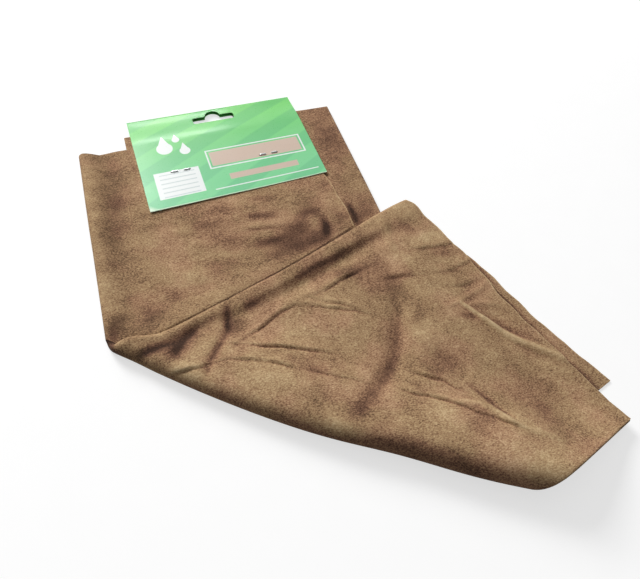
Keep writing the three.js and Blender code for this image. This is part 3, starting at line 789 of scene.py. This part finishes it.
# The tone from dark (0) to pale (1), by nap clouds, single fibres, the way the nap lies with its
# painted shade and highlights, and the painted shadow along the flap's edge.
MEAN_TONE = 0.585
CLOUD_WEIGHT = 0.62
MOTTLE_WEIGHT = 0.32
FIBRE_WEIGHT = 1.6
LIE_AND_SHADE_WEIGHT = 0.38
calm = 1 - 0.4 * (0 - lie_and_shade).step(0.1, 1.2) - 0.4 * lie_and_shade.step(0.2, 0.9)  # fibres show less where the nap is brushed flat and in the painted shade and highlights
grain = MOTTLE_WEIGHT * (mottle - 0.5) + FIBRE_WEIGHT * calm * (fibre - 0.5)
ruffled_and_shade = lie_and_shade * (0.65 + 0.7 * mottle)
tone = MEAN_TONE + CLOUD_WEIGHT * (clouds - 0.5) + grain + LIE_AND_SHADE_WEIGHT * ruffled_and_shade - edge_shadow_weight * painted_edge_shadow

TONES = (0.0, 0.3, 0.55, 0.78, 1.0)
OLIVE_BROWNS = ((57, 44, 33), (118, 91, 69), (168, 135, 101), (190, 160, 121), (215, 188, 147))
ROSY_BROWNS = ((60, 43, 35), (123, 90, 71), (171, 133, 102), (194, 158, 123), (218, 185, 149))


def browns(shades):
    stops = [(place, paint(*shade)) for place, shade in zip(TONES, shades)]
    return suede.node("ShaderNodeValToRGB", {"stops": stops}, {"Fac": tone})


olive_margin = 1 - side.step(-124, -92)  # the skin's left side is less rosy
rosy = (blush - 0.25 * lie_and_shade - 0.2 * olive_margin).step(0.42, 0.66)
brown = suede.mix(rosy, browns(OLIVE_BROWNS), browns(ROSY_BROWNS))
nap_bump = suede.bump(0.7 * fibre + 0.2 * mottle, strength=0.55, distance=0.0005)
suede.wear(Base_Color=brown, Roughness=0.95, Normal=nap_bump, Specular_IOR_Level=0.12)
suede.wear(Sheen_Weight=0.04, Sheen_Roughness=0.5, Sheen_Tint=paint(214, 184, 150))

skin_strip = skin_piece("skin_strip", strip_cut, *strip_rows())
skin_bend = skin_piece("skin_bend", flap_cut, *bend_rows())
skin_flap = skin_piece("skin_flap", flap_cut, *flap_rows())
for piece in (skin_strip, skin_bend, skin_flap):
    piece.data.materials.append(suede.owner)

TURN_REACH = 1.65  # half the height of a band round the middle of the bend


def turn_point(x):
    """The outermost point of the bend, half way round its turn."""
    return bend_point(np.full(1, x), np.zeros(1), np.full(1, math.pi / 2))[0]


turn_left, turn_right = turn_point(0.0), turn_point(STRIP_WIDTH)
turn_axis = (turn_right - turn_left) / np.linalg.norm(turn_right - turn_left)
turn_up = np.cross(turn_axis, np.cross((0.0, 0.0, 1.0), turn_axis))
turn_middle = (turn_left + turn_right) / 2 + SKIN_ORIGIN
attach(skin_strip, "strip")
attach(skin_flap, "flap")
tuple((turn_middle - TURN_REACH * turn_up) / 1000)
tuple((turn_middle + TURN_REACH * turn_up) / 1000)
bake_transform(skin_bend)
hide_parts("leather_strip")
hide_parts("leather_flap")


# The header card: one piece of coated card, printed and punched flat, then folded at its top
# over the skin's end. It is glossy all over, scuffed pale along its lower edge, and paler at its lower
# left corner.

CARD_WIDTH = 120.0
CARD_HEIGHT = 87.0
CARD_THICKNESS = 0.4
CARD_FOLD = 1.1
CARD_SLOPE = 30.0  # run in which the front panel rises from the fold
CARD_BACK = 1.0  # middle of the back panel, over the table
CARD_FRONT = 5.5  # middle of the front panel
CARD_TURN = math.radians(1.8)
CARD_CORNER = Vector((34.7, 0.0, 0.0))
CARD_GRID = (60, 168)  # squares of the mesh across and along the flat card
CARD_ANGLE = math.radians(50)  # edges sharper than this stay crisp
SLOT_WIDTH = 30.0
SLOT_HEIGHT = 7.0
SLOT_DROP = 15.0
SLOT_CORNER = 2.0
BUMP_WIDTH = 11.0
BUMP_RISE = 5.0
PUNCH = 4.0  # length of the punches, through the card and out on both sides
STAPLES = (26.0, 87.0)  # middles of the staples, across the card
HALF_CROWN = 6.1
LEG_HOLE = (1.1, 1.3)
LEG_ROW = 59.0
FOLD_SKEW = 1.2  # how far the fold and the front panel's lower edge
EDGE_SKEW = 3.7  # are out of square at the left
SKEW_RUN = 56.0  # length in which the fold's skew dies out
RIPPLE = 0.25  # a slow ripple along the lower edge
RIPPLE_RUN = 19.0
RIPPLE_START = 52.0
CORNER_CURL = 0.6  # how far the front panel's lower left corner stands up
CURL_REACH = 30.0
CURL_START = 66.0

fold_line = -CARD_FOLD - CARD_THICKNESS / 2
back_length = CARD_HEIGHT + fold_line
fold_length = math.pi * CARD_FOLD
front_start = back_length + fold_length
card_length = 2 * back_length + fold_length


def low_part(y, start):
    """0 down to a line across the front panel, and from there evenly up to 1 at its lower edge."""
    return max(0.0, (-y - start) / (CARD_HEIGHT - start))


def folded(across, run, proud):
    """A point of the flat card, by its run from the back panel's lower edge, where the fold puts it."""
    left = 1 - across / CARD_WIDTH
    if run < back_length:
        y = run - CARD_HEIGHT
        return Vector((across, y + FOLD_SKEW * left * max(0.0, 1 + y / SKEW_RUN), CARD_BACK - proud))
    turn = (run - back_length) / CARD_FOLD
    if turn < math.pi:
        radius = CARD_FOLD + proud
        y = fold_line + radius * math.sin(turn) + FOLD_SKEW * left
        return Vector((across, y, CARD_BACK + CARD_FOLD - radius * math.cos(turn)))
    y = fold_line - (run - front_start)
    z = ease(fold_line - y, 0, fold_line + CARD_SLOPE, CARD_BACK + 2 * CARD_FOLD, CARD_FRONT)
    z += RIPPLE * math.sin(across / RIPPLE_RUN) * low_part(y, RIPPLE_START) ** 2
    z += CORNER_CURL * (max(0.0, 1 - across / CURL_REACH) * low_part(y, CURL_START)) ** 1.5
    edge_drop = EDGE_SKEW * left * low_part(y, LEG_ROW + 3)
    y += FOLD_SKEW * left * max(0.0, 1 + y / SKEW_RUN) - edge_drop
    return Vector((across, y, z + proud))


def pull_up(bm, faces, height):
    """Extrudes flat faces upwards into a solid."""
    pulled = bmesh.ops.extrude_face_region(bm, geom=faces)
    risen = [v for v in pulled["geom"] if isinstance(v, bmesh.types.BMVert)]
    bmesh.ops.translate(bm, verts=risen, vec=(0, 0, height))


def round_corner(x, y, start):
    """A quarter circle of the slot's outline."""
    turns = [start + math.pi / 2 * k / 5 for k in range(6)]
    return [(x + SLOT_CORNER * math.cos(turn), y + SLOT_CORNER * math.sin(turn)) for turn in turns]


def slot_cutter(bm, run, upwards):
    """The hang slot with its round bump, drawn flat and pulled up through the card."""
    right, low, high = SLOT_WIDTH / 2 - SLOT_CORNER, SLOT_CORNER, SLOT_HEIGHT - SLOT_CORNER
    arch = [math.pi * k / 16 for k in range(17)]
    outline = round_corner(right, low, -math.pi / 2) + round_corner(right, high, 0.0)
    outline += [(BUMP_WIDTH / 2 * math.cos(a), SLOT_HEIGHT + BUMP_RISE * math.sin(a)) for a in arch]
    outline += round_corner(-right, high, math.pi / 2) + round_corner(-right, low, math.pi)
    ring = [bm.verts.new((CARD_WIDTH / 2 + x, run + upwards * y, -PUNCH / 2)) for x, y in outline]
    pull_up(bm, [bm.faces.new(ring)], PUNCH)


bm = bmesh.new()
slot_cutter(bm, front_start + SLOT_DROP + fold_line, -1)
slot_cutter(bm, back_length - SLOT_DROP - fold_line, 1)
for leg in [middle + side * HALF_CROWN for middle in STAPLES for side in (-1, 1)]:
    for run in (front_start + LEG_ROW + fold_line, back_length - LEG_ROW - fold_line):
        hole = bmesh.ops.create_cube(bm, size=1.0)["verts"]
        bmesh.ops.scale(bm, verts=hole, vec=(*LEG_HOLE, PUNCH))
        bmesh.ops.translate(bm, verts=hole, vec=(leg, run, 0))
bmesh.ops.recalc_face_normals(bm, faces=bm.faces)
punch = placed("punch", bm)

bm = bmesh.new()
bmesh.ops.create_grid(bm, x_segments=CARD_GRID[0], y_segments=CARD_GRID[1], size=0.5)
for vert in bm.verts:
    across, run = (vert.co.x + 0.5) * CARD_WIDTH, (vert.co.y + 0.5) * card_length
    vert.co = (across, run, -CARD_THICKNESS / 2)
pull_up(bm, bm.faces[:], CARD_THICKNESS)
bmesh.ops.recalc_face_normals(bm, faces=bm.faces)
flat_card = placed("flat_card", bm)
punching = flat_card.modifiers.new("punch", "BOOLEAN")
punching.object = punch
punching.operation = "DIFFERENCE"
punching.solver = "EXACT"
bm = bmesh.new()
bm.from_mesh(settled(flat_card))
bpy.data.objects.remove(flat_card)
bpy.data.objects.remove(punch)

card_print = bm.loops.layers.uv.new("print")
for face in bm.faces:
    face.smooth = True
    for corner in face.loops:
        corner[card_print].uv = (corner.vert.co.x / 1000, corner.vert.co.y / 1000)
card_place = Matrix.Translation(CARD_CORNER) @ Matrix.Rotation(CARD_TURN, 4, "Z")
for vert in bm.verts:
    spot = card_place @ folded(*vert.co)
    vert.co = (spot + Vector(SKIN_ORIGIN)) / 1000
card = placed("card_sheet", bm)
card.data.set_sharp_from_angle(angle=CARD_ANGLE)

gloss_print = Finish(bpy.data.materials.new("glossy print"))
spot = gloss_print.node("ShaderNodeUVMap", {"uv_map": "print"})
across, run = gloss_print.millimetres(spot)
down = run - (front_start + fold_line)


def between(place, low, high, soft=0.25):
    return place.step(low - soft, low + soft) * (1 - place.step(high - soft, high + soft))


def block(left, right, top, bottom, grown=0.0):
    """1 inside a printed rectangle of the front panel."""
    return between(across, left - grown, right + grown) * between(down, top - grown, bottom + grown)


def drop_mark(x, y, size):
    """A plain water drop, round below and pointed above."""
    dx, dy = across - x, down - y
    tip = 2.3 * size
    bowl = 1 - (dx * dx + dy * dy).root().step(size - 0.3, size + 0.3)
    taper = 1 - (abs(dx) - (dy + tip) * 0.42).step(-0.25, 0.25)
    point = taper * (1 - dy.step(-0.3, 0.3)) * dy.step(-tip, 0.1 * size - tip)
    return bowl.most(point)


BAND_SLANT = 0.55
BAND_PITCH = 27.0
RULE_PITCH = 3.6
TAN_BAR = (47.5, 110.9, 47.5, 60.9)  # left, right, top and bottom, as all blocks
WHITE_PANEL = (8, 38, 58, 80)
bands = ((across * BAND_SLANT + down) / BAND_PITCH * 2 * math.pi).sine().step(-0.25, 0.25)
shade = down.step(0, 80)
fresh = gloss_print.mix(shade, paint(104, 205, 92), paint(118, 213, 146))
leaf = gloss_print.mix(shade, paint(86, 191, 90), paint(104, 201, 138))
ground = gloss_print.mix(bands, fresh, leaf)
tan = block(*TAN_BAR).most(block(56, 104, 70, 75))
keyline = block(*TAN_BAR, grown=2.3).least(1 - block(*TAN_BAR, grown=1.3))
foot_line = block(44, 116, 80.4, 81.2)
panel_white = block(*WHITE_PANEL)
drops = drop_mark(20, 36, 5.5).most(drop_mark(33, 41, 3.6)).most(drop_mark(29, 29, 2.6))
white = keyline.most(panel_white).most(drops).most(foot_line)
rules = panel_white * between(across, 11.2, 34.8, soft=0.2)
rules = rules * (down / RULE_PITCH).fraction().step(0.72, 0.8)
inked = gloss_print.mix(tan, ground, paint(208, 184, 166))
inked = gloss_print.mix(white, inked, paint(240, 244, 242))
inked = gloss_print.mix(rules, inked, paint(206, 216, 214))
paper_grain = gloss_print.grain(spot, 900.0)
ink_lay = gloss_print.grain(spot, 60.0)
inked = gloss_print.mix(0.06 * ink_lay, inked, paint(250, 255, 250))
# paler at the front panel's lower left corner
from_corner = across * 0.6 + (CARD_HEIGHT - down)
pale_corner = 0.75 * (1 - (from_corner + 3 * ink_lay).step(2.5, 7.0))
worn_rim = 0.6 * down.step(CARD_HEIGHT - 0.9, CARD_HEIGHT - 0.4)
inked = gloss_print.mix(pale_corner.most(worn_rim), inked, paint(236, 246, 226))
card_bump = gloss_print.bump(paper_grain + 3 * ink_lay, strength=0.06, distance=0.0002)
gloss_print.wear(Base_Color=inked, Roughness=0.24 + 0.1 * paper_grain, Normal=card_bump)
gloss_print.wear(Specular_IOR_Level=0.5, Coat_Weight=0.35, Coat_Roughness=0.12)

card.data.materials.append(gloss_print.owner)
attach(card, "strip")
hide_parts("header_card")


# Two office staples of plain bright steel wire, drawn along its length. They are driven from
# behind through card and leather, and their legs are clinched on the front.

DRAWN_WIRE = (300.0, 6000.0, 6000.0)  # streaks in a metre, along the crown and across it
staple_steel = Finish(bpy.data.materials.new("staple wire"))
spot = staple_steel.node("ShaderNodeTexCoord", output="Object")
streaks = staple_steel.grain(staple_steel.drawn_out(spot, DRAWN_WIRE), 1.0, detail=3.0)
steel_colour = staple_steel.mix(streaks, paint(150, 152, 156), paint(212, 214, 216))
staple_steel.wear(Base_Color=steel_colour, Metallic=1.0, Roughness=0.22 + 0.2 * streaks)
for name in ("staple_left", "staple_right"):
    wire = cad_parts[name]
    wire.data.materials.clear()
    wire.data.materials.append(staple_steel.owner)


# The studio: a plain white table, a large soft light behind and to the left, a strip light behind
# the card, and an even white surround. The camera stands in front, above the slanting crease.

TABLE_REACH = 8.0
TABLE_GREYS = (0.42, 0.44)
TABLE_GLOW = (0.65, 0.98)  # beside the leather and far away, so that the table is seen as white
GLOW_RUN = (0.25, 1.6)
SURROUND_LIGHT = 0.14
SEEN = ("Is Camera Ray", "Is Glossy Ray", "Is Transmission Ray")


def in_sight(finish):
    """1 for what the camera sees, also mirrored or through glass, and 0 for what only gives light."""
    direct, mirrored, through = (finish.node("ShaderNodeLightPath", output=ray) for ray in SEEN)
    return direct.most(mirrored).most(through)


bm = bmesh.new()
bmesh.ops.create_grid(bm, x_segments=1, y_segments=1, size=TABLE_REACH)
table = placed("table", bm)
table_white = Finish(bpy.data.materials.new("table white"))
spot = table_white.node("ShaderNodeTexCoord", output="Object")
speck = table_white.grain(spot, 60.0)
table_colour = table_white.mix(speck, *[(grey, grey, grey, 1) for grey in TABLE_GREYS])
table_white.wear(Base_Color=table_colour, Roughness=0.9, Specular_IOR_Level=0.0)
away = table_white.node("ShaderNodeVectorMath", {"operation": "LENGTH"}, {0: spot}, output="Value")
near, far = TABLE_GLOW
shine = (near + (far - near) * away.step(*GLOW_RUN)) * in_sight(table_white)
glow = table_white.node("ShaderNodeEmission", {}, {"Color": shine, "Strength": 1.0})
matt = Value(table_white, table_white.shader.outputs["BSDF"])
both = table_white.node("ShaderNodeAddShader", {}, {0: matt, 1: glow})
table_white.feed(table_white.tree.nodes["Material Output"].inputs["Surface"], both)
table.data.materials.append(table_white.owner)


def soft_light(name, place, target, wide, high, watts):
    lamp = bpy.data.lights.new(name, "AREA")
    lamp.shape = "RECTANGLE"
    lamp.size, lamp.size_y, lamp.energy = wide, high, watts
    light = bpy.data.objects.new(name, lamp)
    light.location = place
    light.rotation_euler = (Vector(target) - Vector(place)).to_track_quat("-Z", "Y").to_euler()
    bpy.context.scene.collection.objects.link(light)


soft_light("window", (-0.6, 1.45, 1.15), (0, 0, 0), wide=0.8, high=0.8, watts=37.0)
soft_light("ceiling", (0.15, 0.25, 1.7), (0, 0, 0), wide=1.4, high=1.4, watts=3.7)
soft_light("strip_light", (0.02, 1.25, 0.72), (-0.05, 0.12, 0), wide=0.26, high=0.12, watts=1.0)

surround = Finish(bpy.data.worlds.new("surround"), "Background")
surround.wear(Color=(1, 1, 1, 1), Strength=SURROUND_LIGHT + (1 - SURROUND_LIGHT) * in_sight(surround))
bpy.context.scene.world = surround.owner

EYE = (-0.08825, -0.19622, 0.2843)
YAW, PITCH, LEAN = math.radians(24.0), 0.9596, 0.1213
SENSOR = 36.0
FRAME_WIDTH = 640  # pixels
FOCAL_LENGTH = 581.53  # in those pixels
ahead = Vector((math.sin(YAW) * math.cos(PITCH), math.cos(YAW) * math.cos(PITCH), -math.sin(PITCH)))
level_right = Vector((math.cos(YAW), -math.sin(YAW), 0.0))
level_up = level_right.cross(ahead)
right = math.cos(LEAN) * level_right + math.sin(LEAN) * level_up
up = math.cos(LEAN) * level_up - math.sin(LEAN) * level_right
lens = bpy.data.cameras.new("camera")
lens.sensor_width = SENSOR
lens.lens = FOCAL_LENGTH / FRAME_WIDTH * SENSOR
lens.clip_start = 0.01
camera = bpy.data.objects.new("camera", lens)
turn = Matrix((right, up, -ahead)).transposed()
camera.matrix_world = Matrix.Translation(EYE) @ turn.to_4x4()
bpy.context.scene.collection.objects.link(camera)
bpy.context.scene.camera = camera

bpy.context.scene.view_settings.view_transform = "Standard"
